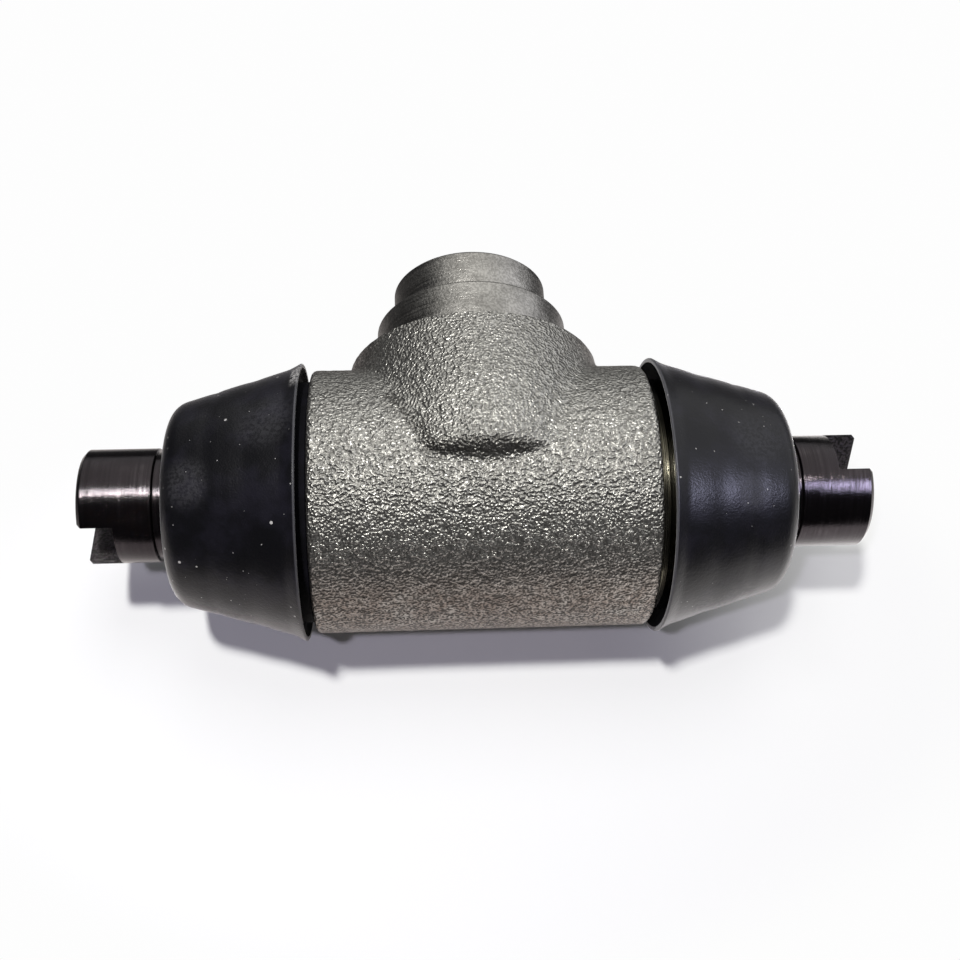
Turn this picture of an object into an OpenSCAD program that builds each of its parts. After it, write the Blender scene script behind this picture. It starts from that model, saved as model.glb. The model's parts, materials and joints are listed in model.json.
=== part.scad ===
// Drum-brake wheel cylinder: cast body, two slotted pistons, cup seals, spring and dust boots.
// The origin is the centre of the seat that meets the backplate. +X runs along the bore,
// +Y along the boss through the backplate, and +Z is up.

/* [Barrel] */
// Bore diameter, three quarters of an inch
bore_d = 19.05; // [17.4:0.05:20.7]
// Outside diameter of the cast barrel
barrel_d = 30; // [28.5:0.5:31]
// Length of the cast barrel
barrel_l = 37.5; // [36.5:0.5:44]
// Rounding of the cast edge at each barrel end
barrel_round = 0.8; // [0.3:0.1:1.4]
// Step in radius from the cast barrel down to the turned land that carries each boot
land_step = 1.6; // [1.3:0.1:2]
// Length of the turned land beyond the cast barrel
land_l = 4.4; // [4:0.1:5]
// Width of the boot groove in the land
land_groove_w = 1.6; // [1.2:0.1:1.8]
// Depth of the boot groove in the land
land_groove_depth = 0.7; // [0.4:0.1:1]
// Distance from the cast barrel to the boot groove
land_groove_inset = 2.15; // [2:0.05:2.3]
// Chamfer at each mouth of the bore
bore_chamfer = 0.5; // [0.2:0.1:1]

/* [Boss] */
// Distance from the bore axis to the seat on the backplate
boss_reach = 15.9; // [15.5:0.1:20]
// Diameter of the cast boss at the seat
boss_d = 29.7; // [27:0.1:31]
// How far the foot of the boss stands above the barrel
boss_ledge = 1.6; // [1:0.05:2.5]
// How far the foot of the boss lies beyond the bore axis
boss_foot_drop = 1; // [0.5:0.1:2]
// Distance from the bore axis to where the boss starts to taper towards the seat
boss_taper_start = 5.5; // [4:0.1:8]
// Rounding of the edge of the foot
boss_foot_round = 0.7; // [0.3:0.1:1]
// Slope of the face under the foot, as run along the boss over drop in radius
boss_foot_slope = 0.8; // [0.4:0.05:1]
// Diameter of the turned pilot that fits the backplate
pilot_d = 23; // [21:0.1:25]
// Length of the pilot
pilot_l = 6.7; // [4:0.1:9]
// Diameter of the spigot beyond the pilot
spigot_d = 18.7; // [16:0.1:20]
// Length of the spigot
spigot_l = 5.7; // [3:0.1:9]
// Width of the relief groove at the root of the spigot
relief_w = 0.9; // [0.4:0.1:1.5]
// Depth of the relief groove
relief_depth = 0.35; // [0.1:0.05:0.6]
// Chamfer on the turned edges of the boss
turned_chamfer = 0.4; // [0.1:0.1:0.8]

/* [Inlet] */
// Diameter of the inlet hole, drilled for a 10 x 1 thread
inlet_d = 9; // [8:0.1:11]
// Depth of the inlet hole from the end of the spigot
inlet_l = 11; // [8:0.1:12.5]
// Chamfer at the mouth of the inlet
inlet_chamfer = 0.7; // [0.3:0.1:1]
// Diameter of the feed drilling into the bore
feed_d = 3; // [1.5:0.1:5]

/* [Pistons] */
// Radial clearance of the piston head in the bore
piston_clearance = 0.045; // [0.02:0.005:0.09]
// Length of the piston head
head_l = 10; // [8:0.5:11]
// Distance from the mouth of the bore in to the head
head_inset = 2.15; // [1:0.05:3]
// Diameter of the piston neck
neck_d = 13; // [12:0.1:14]
// Length of neck that stands out of the boot
neck_out_l = 9.3; // [7:0.1:14]
// Depth of the groove that holds the nose of the boot
neck_groove_depth = 0.5; // [0.3:0.1:1]
// Length of the groove that shows outside the boot
neck_groove_show = 1.15; // [0.3:0.05:2]
// Chamfer on the end of the neck
neck_chamfer = 0.45; // [0.2:0.05:0.8]
// Chamfer on the edges of the piston head
head_chamfer = 0.5; // [0.2:0.1:1]
// Width of the slot for the shoe web
slot_w = 6.8; // [6:0.1:7.6]
// Depth of the slot
slot_depth = 3.9; // [3:0.1:5]
// Turn of the left slot about the bore axis, from level
left_slot_turn = -12; // [-90:1:90]
// Turn of the right slot about the bore axis, from level
right_slot_turn = 62; // [-90:1:90]

/* [Seals] */
// Length of each cup
cup_l = 5; // [4:0.1:6]
// Thickness of the floor of the cup
cup_floor = 2.1; // [1.5:0.1:2.6]
// Thickness of the lip of the cup at its root
cup_lip = 2; // [1.5:0.1:2.5]
// Radial clearance of the cup in the bore
cup_clearance = 0.06; // [0.02:0.01:0.09]
// Gap between the cup and the face of the piston
cup_gap = 0.05; // [0.02:0.01:0.1]
// Sheet thickness of the expander
expander_t = 0.6; // [0.4:0.1:0.8]
// Height of the flared rim of the expander
expander_rim = 2; // [1.2:0.1:2.3]

/* [Spring] */
// Wire diameter of the return spring
wire_d = 1; // [0.8:0.05:1.3]
// Mean diameter of the coils
coil_d = 9.4; // [8:0.1:9.6]
// Turns of the spring, with its closed ends
coil_turns = 7; // [5:1:9]
// Gap between the spring and each expander
spring_gap = 0.1; // [0.05:0.05:0.3]

/* [Boots] */
// Length of the boot from lip to nose
boot_l = 15.3; // [14:0.1:18]
// How far the lip of the boot stands above the barrel
lip_overhang = 0.95; // [0.8:0.05:1.5]
// Gap between the cast barrel and the lip
lip_gap = 1.05; // [0.6:0.05:1.2]
// Thickness of the lip at its edge
lip_t = 0.55; // [0.4:0.05:0.7]
// Length of the flare behind the lip
flare_l = 1.4; // [1:0.1:2]
// Drop in radius over the flare
flare_h = 0.75; // [0.4:0.05:0.8]
// Diameter of the boot at the corner of its nose
corner_d = 22.6; // [22:0.1:24]
// Rounding of that corner
corner_round = 2.6; // [1:0.1:3]
// How far the nose bulges past the corner
nose_bulge = 0.8; // [0.2:0.1:1.2]
// Diameter of the raised rim round the piston
nose_rim_d = 14.4; // [14.2:0.1:16]
// Wall of the boot
boot_wall = 1.6; // [1.2:0.1:2]
// Thickness of the bead at the nose
nose_bead_l = 2; // [1.5:0.1:2.5]
// Gap between the boot and the land
boot_gap = 0.05; // [0.02:0.01:0.1]
// Gap between the boot and the piston
nose_gap = 0.08; // [0.03:0.01:0.1]

/* [Hidden] */
$fn = 96;
eps = 0.01;

cast_grey = [0.46, 0.44, 0.42];
black_steel = [0.12, 0.12, 0.13];
boot_black = [0.08, 0.08, 0.09];
cup_black = [0.14, 0.13, 0.13];
bright_steel = [0.68, 0.69, 0.7];

// Distances along the bore from the middle of the cylinder
mouth_x = barrel_l / 2 + land_l;
lip_x = barrel_l / 2 + lip_gap;
nose_x = lip_x + boot_l;
head_out_x = mouth_x - head_inset;
head_in_x = head_out_x - head_l;
cup_out_x = head_in_x - cup_gap;
cup_in_x = cup_out_x - cup_l;
cup_floor_x = cup_out_x - cup_floor;
spring_end_x = cup_floor_x - expander_t - spring_gap;
piston_end_x = nose_x + neck_out_l;
groove_in_x = nose_x - nose_bead_l - nose_gap;
groove_out_x = nose_x + neck_groove_show;

// Radii
bore_r = bore_d / 2;
barrel_r = barrel_d / 2;
land_r = barrel_r - land_step;
boss_foot_r = barrel_r + boss_ledge;
lip_r = barrel_r + lip_overhang;
neck_r = neck_d / 2;
head_r = bore_r - piston_clearance;
neck_groove_r = neck_r - neck_groove_depth;
cup_r = bore_r - cup_clearance;
cup_lip_edge = cup_lip * 0.55;
coil_r = coil_d / 2;
wire_r = wire_d / 2;

// Facets of the wire and of one turn of the spring
wire_sides = 8;
turn_steps = 24;

// Points of an arc of radius r that rounds the corner p between the points a and b
function rounded(a, p, b, r, steps = 6) =
    let (
        u = (a - p) / norm(a - p),
        v = (b - p) / norm(b - p),
        half = acos(u * v) / 2,
        middle = p + (u + v) / norm(u + v) * r / sin(half),
        from = p + u * r / tan(half) - middle,
        to = p + v * r / tan(half) - middle,
        swing = 180 - 2 * half,
        side = cross(from, to) > 0 ? 1 : -1
    )
    [for (i = [0 : steps])
        let (turn = side * swing * i / steps)
        middle + [from.x * cos(turn) - from.y * sin(turn), from.x * sin(turn) + from.y * cos(turn)]];

// Turns an outline of [radius, distance] points about the bore axis
module turned_on_bore(outline) {
    translate([0, -boss_reach, 0])
        rotate([0, 90, 0])
            rotate_extrude()
                polygon(outline);
}

// Turns an outline of [radius, distance from the seat] points about the boss axis
module turned_on_boss(outline) {
    rotate([-90, 0, 0])
        rotate_extrude()
            polygon(outline);
}

module left_side() {
    mirror([1, 0, 0])
        children();
}

// The cast barrel with its rounded ends
module barrel() {
    end_x = barrel_l / 2;
    outline = concat(
        [[0, -end_x]],
        rounded([0, -end_x], [barrel_r, -end_x], [barrel_r, end_x], barrel_round),
        rounded([barrel_r, -end_x], [barrel_r, end_x], [0, end_x], barrel_round),
        [[0, end_x]]
    );
    turned_on_bore(outline);
}

// One turned land with its boot groove
module land() {
    groove_x = barrel_l / 2 + land_groove_inset;
    groove_r = land_r - land_groove_depth;
    turned_on_bore([
        [0, 0],
        [land_r, 0],
        [land_r, groove_x],
        [groove_r, groove_x],
        [groove_r, groove_x + land_groove_w],
        [land_r, groove_x + land_groove_w],
        [land_r, mouth_x - turned_chamfer],
        [land_r - turned_chamfer, mouth_x],
        [0, mouth_x]
    ]);
}

// The tapered cast boss with the turned pilot and spigot on its end
module boss() {
    foot_y = -boss_reach - boss_foot_drop;
    taper_y = boss_taper_start - boss_reach;
    under_r = barrel_r - 0.3;
    under_y = foot_y - (boss_foot_r - under_r) * boss_foot_slope;
    pilot_r = pilot_d / 2;
    spigot_r = spigot_d / 2;
    end_y = pilot_l + spigot_l;
    turned_on_boss(concat(
        [
            [0, under_y],
            [under_r, under_y]
        ],
        rounded([under_r, under_y], [boss_foot_r, foot_y], [boss_foot_r, taper_y], boss_foot_round),
        [
            [boss_foot_r, taper_y],
            [boss_d / 2, 0],
            [pilot_r, 0],
            [pilot_r, pilot_l - turned_chamfer],
            [pilot_r - turned_chamfer, pilot_l],
            [spigot_r - relief_depth, pilot_l],
            [spigot_r - relief_depth, pilot_l + relief_w],
            [spigot_r, pilot_l + relief_w],
            [spigot_r, end_y - turned_chamfer],
            [spigot_r - turned_chamfer, end_y],
            [0, end_y]
        ]
    ));
}

// The bore with a chamfer at each mouth
module bore() {
    wide_r = bore_r + bore_chamfer;
    turned_on_bore([
        [0, -mouth_x - eps],
        [wide_r, -mouth_x - eps],
        [wide_r, -mouth_x],
        [bore_r, -mouth_x + bore_chamfer],
        [bore_r, mouth_x - bore_chamfer],
        [wide_r, mouth_x],
        [wide_r, mouth_x + eps],
        [0, mouth_x + eps]
    ]);
}

// The inlet hole in the spigot and the feed drilling down to the bore
module inlet() {
    end_y = pilot_l + spigot_l;
    inlet_r = inlet_d / 2;
    feed_r = feed_d / 2;
    floor_y = end_y - inlet_l;
    seat_y = floor_y - (inlet_r - feed_r) * tan(30);
    turned_on_boss([
        [0, -boss_reach],
        [feed_r, -boss_reach],
        [feed_r, seat_y],
        [inlet_r, floor_y],
        [inlet_r, end_y - inlet_chamfer],
        [inlet_r + inlet_chamfer, end_y],
        [inlet_r + inlet_chamfer, end_y + eps],
        [0, end_y + eps]
    ]);
}

module cylinder_body() {
    color(cast_grey)
        difference() {
            union() {
                barrel();
                land();
                left_side() land();
                boss();
            }
            bore();
            inlet();
        }
}

// A piston for the right side, with its slot turned about the bore axis
module piston(slot_turn) {
    slot_l = 2 * neck_d;
    difference() {
        turned_on_bore([
            [0, head_in_x],
            [head_r - head_chamfer, head_in_x],
            [head_r, head_in_x + head_chamfer],
            [head_r, head_out_x - head_chamfer],
            [head_r - head_chamfer, head_out_x],
            [neck_r, head_out_x],
            [neck_r, groove_in_x],
            [neck_groove_r, groove_in_x],
            [neck_groove_r, groove_out_x],
            [neck_r, groove_out_x],
            [neck_r, piston_end_x - neck_chamfer],
            [neck_r - neck_chamfer, piston_end_x],
            [0, piston_end_x]
        ]);
        translate([piston_end_x - slot_depth, -boss_reach, 0])
            rotate([slot_turn, 0, 0])
                translate([0, -slot_l / 2, -slot_w / 2])
                    cube([slot_depth + 1, slot_l, slot_w]);
    }
}

module left_piston() {
    color(black_steel)
        left_side() piston(left_slot_turn);
}

module right_piston() {
    color(black_steel)
        piston(right_slot_turn);
}

// A cup for the right side, open towards the middle of the cylinder
module cup() {
    turned_on_bore([
        [0, cup_out_x],
        [cup_r, cup_out_x],
        [cup_r, cup_in_x],
        [cup_r - cup_lip_edge, cup_in_x],
        [cup_r - cup_lip, cup_floor_x],
        [0, cup_floor_x]
    ]);
}

module left_cup() {
    color(cup_black)
        left_side() cup();
}

module right_cup() {
    color(cup_black)
        cup();
}

// An expander for the right side: a dished disc whose flared rim holds the lip of the cup out
module expander() {
    foot_r = cup_r - cup_lip - expander_t;
    flare = (cup_lip - cup_lip_edge) * expander_rim / (cup_l - cup_floor);
    rim_x = cup_floor_x - expander_rim;
    turned_on_bore([
        [0, cup_floor_x],
        [foot_r, cup_floor_x],
        [foot_r + flare, rim_x],
        [foot_r + flare - expander_t, rim_x],
        [foot_r - expander_t, cup_floor_x - expander_t],
        [0, cup_floor_x - expander_t]
    ]);
}

module left_expander() {
    color(bright_steel)
        left_side() expander();
}

module right_expander() {
    color(bright_steel)
        expander();
}

// Distance along the bore of the middle of the wire after a number of turns:
// a closed turn at each end and an even pitch between them
function wire_x(turn) =
    let (
        first_x = -spring_end_x + wire_r,
        closed = wire_d * 1.05,
        open = (-2 * first_x - 2 * closed) / (coil_turns - 2)
    )
    turn < 1 ? first_x + closed * turn :
    turn < coil_turns - 1 ? first_x + closed + open * (turn - 1) :
    -first_x - closed * (coil_turns - turn);

module return_spring() {
    rings = coil_turns * turn_steps;
    points = [
        for (i = [0 : rings], j = [0 : wire_sides - 1])
            let (
                around = 360 * i / turn_steps,
                section = 360 * j / wire_sides,
                r = coil_r + wire_r * cos(section)
            )
            [wire_x(i / turn_steps) + wire_r * sin(section), r * cos(around), r * sin(around)]
    ];
    skin = [
        for (i = [0 : rings - 1], j = [0 : wire_sides - 1])
            let (
                k = (j + 1) % wire_sides,
                a = i * wire_sides,
                b = a + wire_sides
            )
            [a + j, a + k, b + k, b + j]
    ];
    start_cap = [for (j = [wire_sides - 1 : -1 : 0]) j];
    end_cap = [for (j = [0 : wire_sides - 1]) rings * wire_sides + j];
    color(bright_steel)
        translate([0, -boss_reach, 0])
            polyhedron(points, concat(skin, [start_cap, end_cap]));
}

// A boot for the right side: flared lip, tapered wall, rounded nose and the two inner beads
module boot() {
    flare_x = lip_x + flare_l;
    flare_r = lip_r - flare_h;
    corner_x = nose_x - nose_bulge;
    corner_r = corner_d / 2;
    nose_r = nose_rim_d / 2;
    seat_r = land_r + boot_gap;
    groove_x = barrel_l / 2 + land_groove_inset + boot_gap;
    bead_r = land_r - land_groove_depth + boot_gap;
    bead_l = land_groove_w - 2 * boot_gap;
    hole_r = neck_groove_r + nose_gap;
    slope = (flare_r - corner_r) / (corner_x - flare_x);
    cavity_x = mouth_x + boot_gap + boot_wall / 2;
    cavity_r = flare_r - slope * (cavity_x - flare_x) - boot_wall;
    inner_x = nose_x - nose_bead_l - nose_bulge / 2;
    inner_r = flare_r - slope * (inner_x - flare_x) - boot_wall;
    turned_on_bore(concat(
        [
            [lip_r - lip_t, lip_x],
            [lip_r, lip_x],
            [flare_r, flare_x]
        ],
        rounded([flare_r, flare_x], [corner_r, corner_x], [nose_r, nose_x], corner_round),
        [
            [nose_r, nose_x],
            [hole_r, nose_x],
            [hole_r, nose_x - nose_bead_l],
            [inner_r, inner_x],
            [cavity_r, cavity_x],
            [seat_r, mouth_x + boot_gap],
            [seat_r, groove_x + bead_l],
            [bead_r, groove_x + bead_l],
            [bead_r, groove_x],
            [seat_r, groove_x]
        ]
    ));
}

module left_boot() {
    color(boot_black)
        left_side() boot();
}

module right_boot() {
    color(boot_black)
        boot();
}

cylinder_body();
left_piston();
right_piston();
left_cup();
right_cup();
left_expander();
right_expander();
return_spring();
left_boot();
right_boot();
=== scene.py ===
"""Looks of a drum-brake wheel cylinder, built around its CAD frame."""

import json
import math
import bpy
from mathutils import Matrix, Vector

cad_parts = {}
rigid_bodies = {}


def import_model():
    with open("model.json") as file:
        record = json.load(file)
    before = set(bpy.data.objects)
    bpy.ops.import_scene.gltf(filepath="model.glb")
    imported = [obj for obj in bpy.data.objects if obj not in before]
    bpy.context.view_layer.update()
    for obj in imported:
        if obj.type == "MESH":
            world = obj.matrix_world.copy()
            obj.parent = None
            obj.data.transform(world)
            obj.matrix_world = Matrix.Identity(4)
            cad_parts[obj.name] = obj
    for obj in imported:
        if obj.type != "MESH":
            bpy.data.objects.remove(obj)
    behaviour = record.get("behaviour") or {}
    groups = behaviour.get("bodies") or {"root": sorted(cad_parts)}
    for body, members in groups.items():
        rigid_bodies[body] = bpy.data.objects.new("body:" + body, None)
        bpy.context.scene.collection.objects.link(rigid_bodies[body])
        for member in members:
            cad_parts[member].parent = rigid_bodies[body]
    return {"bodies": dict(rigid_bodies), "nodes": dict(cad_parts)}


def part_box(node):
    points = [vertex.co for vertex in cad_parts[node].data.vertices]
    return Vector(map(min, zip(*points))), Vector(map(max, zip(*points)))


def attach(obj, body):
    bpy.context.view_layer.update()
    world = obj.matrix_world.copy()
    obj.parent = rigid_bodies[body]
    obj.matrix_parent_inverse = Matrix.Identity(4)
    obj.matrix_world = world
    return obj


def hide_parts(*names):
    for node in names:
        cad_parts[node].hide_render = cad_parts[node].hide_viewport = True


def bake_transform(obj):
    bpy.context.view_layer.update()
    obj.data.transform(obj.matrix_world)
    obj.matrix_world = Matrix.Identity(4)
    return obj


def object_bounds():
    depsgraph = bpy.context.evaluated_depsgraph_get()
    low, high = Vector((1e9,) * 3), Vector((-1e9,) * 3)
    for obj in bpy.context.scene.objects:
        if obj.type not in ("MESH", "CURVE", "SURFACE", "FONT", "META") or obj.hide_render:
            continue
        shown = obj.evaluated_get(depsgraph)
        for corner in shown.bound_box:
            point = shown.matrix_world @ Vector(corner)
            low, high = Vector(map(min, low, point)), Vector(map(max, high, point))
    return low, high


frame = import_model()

from types import SimpleNamespace

import bmesh
import bpy
import numpy as np
from bpy.props import FloatProperty, FloatVectorProperty, IntProperty, PointerProperty
from mathutils import Matrix, Vector, noise

bl_info = {
    "name": "Wheel cylinder",
    "version": (1, 0, 0),
    "blender": (4, 5, 0),
    "location": "3D View > Sidebar > Wheel cylinder",
    "description": "Builds the cast body, pistons, boots, seals and spring of a drum-brake wheel cylinder",
    "category": "Object",
}

# Meshes are built in millimetres and scaled to metres when they become pieces.
MM = 0.001

# Places that come from the CAD frame, in metres.
CAD_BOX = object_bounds()
BODY_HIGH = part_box("cylinder_body")[1]
PISTON_LOW, PISTON_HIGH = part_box("right_piston")
BOOT_LOW, BOOT_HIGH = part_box("right_boot")
BORE_Y = (PISTON_LOW.y + PISTON_HIGH.y) / 2
SIDES = {"left": -1, "right": 1}


# Settings

def length(name, description, default):
    """A size in metres."""
    return FloatProperty(name=name, description=description, default=default,
                         unit="LENGTH", subtype="DISTANCE", precision=5)


def colour(name, description, default):
    """A linear colour."""
    return FloatVectorProperty(name=name, description=description, default=(*default, 1.0),
                               size=4, min=0.0, max=1.0, subtype="COLOR")


def share(name, description, default):
    """A number from 0 to 1."""
    return FloatProperty(name=name, description=description, default=default,
                         min=0.0, max=1.0, subtype="FACTOR")


def watts(name, description, default):
    """The power of a lamp."""
    return FloatProperty(name=name, description=description, default=default, unit="POWER")


class CastBodySettings(bpy.types.PropertyGroup):
    """Sizes and colours of the cast body and its turned ends."""

    barrel_radius: length("Barrel radius", "Outside of the cast barrel", 0.015)
    barrel_half: length("Barrel half length", "From the middle to one cast shoulder", 0.01875)
    barrel_round: length("Shoulder rounding", "Rounding of the cast shoulders", 0.0006)
    boss_foot_radius: length("Boss foot radius", "Radius of the boss at its foot", 0.0166)
    boss_seat_radius: length("Boss seat radius", "Radius of the boss at the seat", 0.01485)
    boss_taper_start: length("Boss taper start", "From the bore axis to the start of the taper", 0.0055)
    boss_foot_drop: length("Boss foot drop", "How far the foot lies beyond the bore axis", 0.001)
    boss_draft: share("Boss draft", "Slope of the face under the boss foot", 0.8)
    boss_round: length("Boss rounding", "Rounding of the edge of the boss foot", 0.0007)
    fillet: length("Fillet", "Blend between boss and barrel", 0.0008)
    foot_fillet: length("Foot fillet", "Blend under the boss foot", 0.0003)
    land_radius: length("Land radius", "Turned land under each boot", 0.0134)
    pilot_radius: length("Pilot radius", "Turned pilot on the boss", 0.0115)
    pilot_length: length("Pilot length", "Length of the pilot", 0.0067)
    spigot_radius: length("Spigot radius", "Turned spigot beyond the pilot", 0.00935)
    relief_width: length("Relief width", "Groove at the root of the spigot", 0.0009)
    relief_depth: length("Relief depth", "Depth of that groove", 0.00035)
    edge_break: length("Edge break", "Chamfer on turned edges", 0.0004)
    bore_radius: length("Bore radius", "Honed bore", 0.009525)
    inlet_radius: length("Inlet radius", "Crests of the inlet thread", 0.0045)
    inlet_depth: length("Inlet depth", "Depth of the threaded hole", 0.011)
    thread_pitch: length("Thread pitch", "Pitch of the inlet thread", 0.001)
    thread_depth: length("Thread depth", "Depth of the inlet thread", 0.0005)
    feed_radius: length("Feed radius", "Drilling from inlet to bore", 0.0015)
    grain_size: length("Grain size", "Size of the sand grain left on the casting", 0.00027)
    grain_height: length("Grain height", "Height of the lumps in the cast skin", 0.00004)
    voxel: length("Skin facet", "Size of the facets of the cast skin", 0.00027)
    light_grey: colour("Light iron", "Cast iron on its high spots", (0.485, 0.478, 0.45))
    # The dark iron is also painted as shade in the hollows of the grain, under the boss foot and in the
    # crease at its left.
    dark_grey: colour("Dark iron", "Cast iron in its hollows", (0.05, 0.047, 0.043))
    brown: colour("Brown stain", "Stain low on the casting", (0.25, 0.20, 0.17))
    turned_grey: colour("Turned iron", "Iron where a tool has cut it", (0.42, 0.41, 0.39))
    rust: colour("Rust", "Brown specks low on the casting", (0.14, 0.10, 0.075))
    # Painted shade on the lands under the lips of the boots.
    land_dirt: colour("Land shade", "Painted shade under the lips of the boots", (0.006, 0.006, 0.005))
    land_brown: colour("Land", "Turned iron under the lips of the boots", (0.30, 0.28, 0.21))


class PistonSettings(bpy.types.PropertyGroup):
    """Sizes and colours of the two pistons."""

    head_radius: length("Head radius", "Head that runs in the bore", 0.00948)
    head_length: length("Head length", "Length of the head", 0.010)
    neck_radius: length("Neck radius", "Neck that stands out of the boot", 0.0065)
    groove_depth: length("Groove depth", "Groove that holds the boot", 0.0005)
    groove_length: length("Groove length", "Length of that groove", 0.00323)
    groove_end: length("Groove end", "From the middle to the outer end of the groove", 0.03625)
    neck_chamfer: length("Neck chamfer", "Chamfer on the end of the neck", 0.00045)
    head_chamfer: length("Head chamfer", "Chamfers on the head", 0.0005)
    edge_round: length("Edge rounding", "Rounding of the turned edges", 0.0001)
    slot_width: length("Slot width", "Slot for the shoe web", 0.0068)
    slot_depth: length("Slot depth", "Depth of that slot", 0.0039)
    left_turn: FloatProperty(name="Left slot turn", description="Turn of the left slot from level",
                             default=math.radians(-12), subtype="ANGLE")
    right_turn: FloatProperty(name="Right slot turn", description="Turn of the right slot from level",
                              default=math.radians(62), subtype="ANGLE")
    black: colour("Black steel", "Blackened steel", (0.033, 0.0285, 0.0312))
    worn: colour("Worn steel", "Steel where the black is thin", (0.10, 0.09, 0.095))
    slot_brown: colour("Slot", "Milled faces of the slot", (0.008, 0.007, 0.007))


class BootSettings(bpy.types.PropertyGroup):
    """Sizes and colours of the two rubber boots."""

    lip_radius: length("Lip radius", "Free edge of the lip", 0.01595)
    lip_thickness: length("Lip thickness", "Thickness of the lip at its edge", 0.00055)
    flare_length: length("Flare length", "Length of the flare behind the lip", 0.0014)
    flare_height: length("Flare height", "Drop in radius over the flare", 0.00075)
    corner_radius: length("Corner radius", "Where the cone meets the nose", 0.0113)
    corner_round: length("Corner rounding", "Rounding of that corner", 0.0026)
    nose_bulge: length("Nose bulge", "How far the nose stands past the corner", 0.0008)
    rim_radius: length("Rim radius", "Raised rim round the piston", 0.0072)
    hole_radius: length("Hole radius", "Hole for the piston", 0.00608)
    nose_bead: length("Nose bead", "Length of the bead at the nose", 0.002)
    wall: length("Wall", "Wall of the cone", 0.0016)
    land_gap: length("Land gap", "Gap between boot and land", 0.00005)
    left_cuff: length("Left cuff", "How far the left boot reaches along the land past its lip", 0.00095)
    cuff_wall: length("Cuff wall", "Thickness of that cuff", 0.0003)
    bead_radius: length("Bead radius", "Inside of the bead in the land's groove", 0.01275)
    bead_inset: length("Bead inset", "From the lip's edge to the bead", 0.00115)
    bead_length: length("Bead length", "Length of that bead", 0.0015)
    unevenness: length("Unevenness", "How far the moulded skin wanders", 0.00005)
    ring_depth: length("Ring depth", "Depth of the faint moulded rings", 0.00008)
    rubber: colour("Rubber", "Black rubber", (0.004, 0.004, 0.005))
    bloom: colour("Bloom", "Grey bloom on the rubber", (0.018, 0.017, 0.026))
    # The haze colour is also painted as a highlight along the lip's edge and as reflection and highlight at
    # some hazy places.
    haze: colour("Haze and sheen", "Rubbed and hazy places, with painted sheen", (0.13, 0.13, 0.14))
    dust: colour("Dust", "Specks of dust", (0.55, 0.54, 0.52))


class InsideSettings(bpy.types.PropertyGroup):
    """Sizes and colours of the hidden seals and spring."""

    wire_radius: length("Wire radius", "Wire of the return spring", 0.0005)
    coil_radius: length("Coil radius", "Middle of the wire round the bore axis", 0.0047)
    spring_end: length("Spring end", "From the middle to one end of the spring", 0.00815)
    turns: IntProperty(name="Turns", description="Turns with the closed ends", default=7, min=3)
    bright: colour("Bright steel", "Drawn wire and pressed sheet", (0.62, 0.62, 0.61))
    dull: colour("Dull steel", "Film on that steel", (0.36, 0.35, 0.34))
    cup: colour("Cup rubber", "Rubber of the cups", (0.028, 0.027, 0.027))
    cup_bloom: colour("Cup bloom", "Grey bloom on that rubber", (0.06, 0.058, 0.056))


class StageSettings(bpy.types.PropertyGroup):
    """Camera, lamps and floor."""

    camera_place: FloatVectorProperty(name="Camera place", description="Where the camera stands",
                                      default=(-0.00793, -0.0771, 0.12993), subtype="TRANSLATION")
    camera_turn: FloatVectorProperty(name="Camera turn", description="Which way the camera looks",
                                     default=[math.radians(a) for a in (26.146, -2.353, -2.534)],
                                     subtype="EULER")
    focal_length: FloatProperty(name="Focal length", description="On a sensor 36 mm wide",
                                default=46.56, unit="CAMERA")
    floor_drop: length("Floor drop", "How far the floor lies under the CAD box", 0.0001)
    floor_white: colour("Floor", "Plain pale floor", (0.86, 0.87, 0.86))
    floor_near: colour("Floor near", "Floor round the object as the object reflects it", (0.76, 0.71, 0.67))
    floor_far: colour("Floor far", "Floor further out as the object reflects it", (0.05, 0.05, 0.05))
    near_glow: share("Near glow", "White that the floor near the object adds to reflections", 0.12)
    near_right_glow: share("Near right glow", "The same at the right end", 0.85)
    sheet_start: length("Sheet start", "Where the paler floor starts to fade", 0.04)
    sheet_end: length("Sheet end", "Where the paler floor has faded", 0.085)
    floor_glow: share("Floor glow", "White that the floor adds to what the camera sees", 0.02)
    right_glow: share("Right glow", "The same at the right, where the shadow is paler", 0.4)
    white_start: length("White start", "Where the floor starts to turn to even white", 0.029)
    white_end: length("White end", "Where the floor is even white", 0.045)
    white_level: share("White level", "Level of that white", 0.985)
    key_power: watts("Key power", "Small lamp overhead", 1.2)
    wash_power: watts("Wash power", "Lamp overhead that leaves no highlight", 0.85)
    front_power: watts("Front power", "Lamp in front that leaves no highlight", 0.72)
    soft_power: watts("Soft power", "Broad lamp behind that leaves no highlight", 0.55)
    sheen_power: watts("Sheen power", "Cool lamp at the right, for highlights only", 2.9)
    glint_power: watts("Glint power", "Overhead lamp for the highlight of the left piston", 0.85)


class WheelCylinderSettings(bpy.types.PropertyGroup):
    """All the settings."""

    body: PointerProperty(type=CastBodySettings)
    pistons: PointerProperty(type=PistonSettings)
    boots: PointerProperty(type=BootSettings)
    inside: PointerProperty(type=InsideSettings)
    stage: PointerProperty(type=StageSettings)


# Outlines and meshes, in millimetres

def in_mm(group):
    """The numbers of a settings group, with its lengths in millimetres."""
    units = {p.identifier: p.unit for p in group.bl_rna.properties if p.type == "FLOAT" and not p.is_array}
    return SimpleNamespace(**{name: getattr(group, name) / (MM if unit == "LENGTH" else 1)
                              for name, unit in units.items()})


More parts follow.
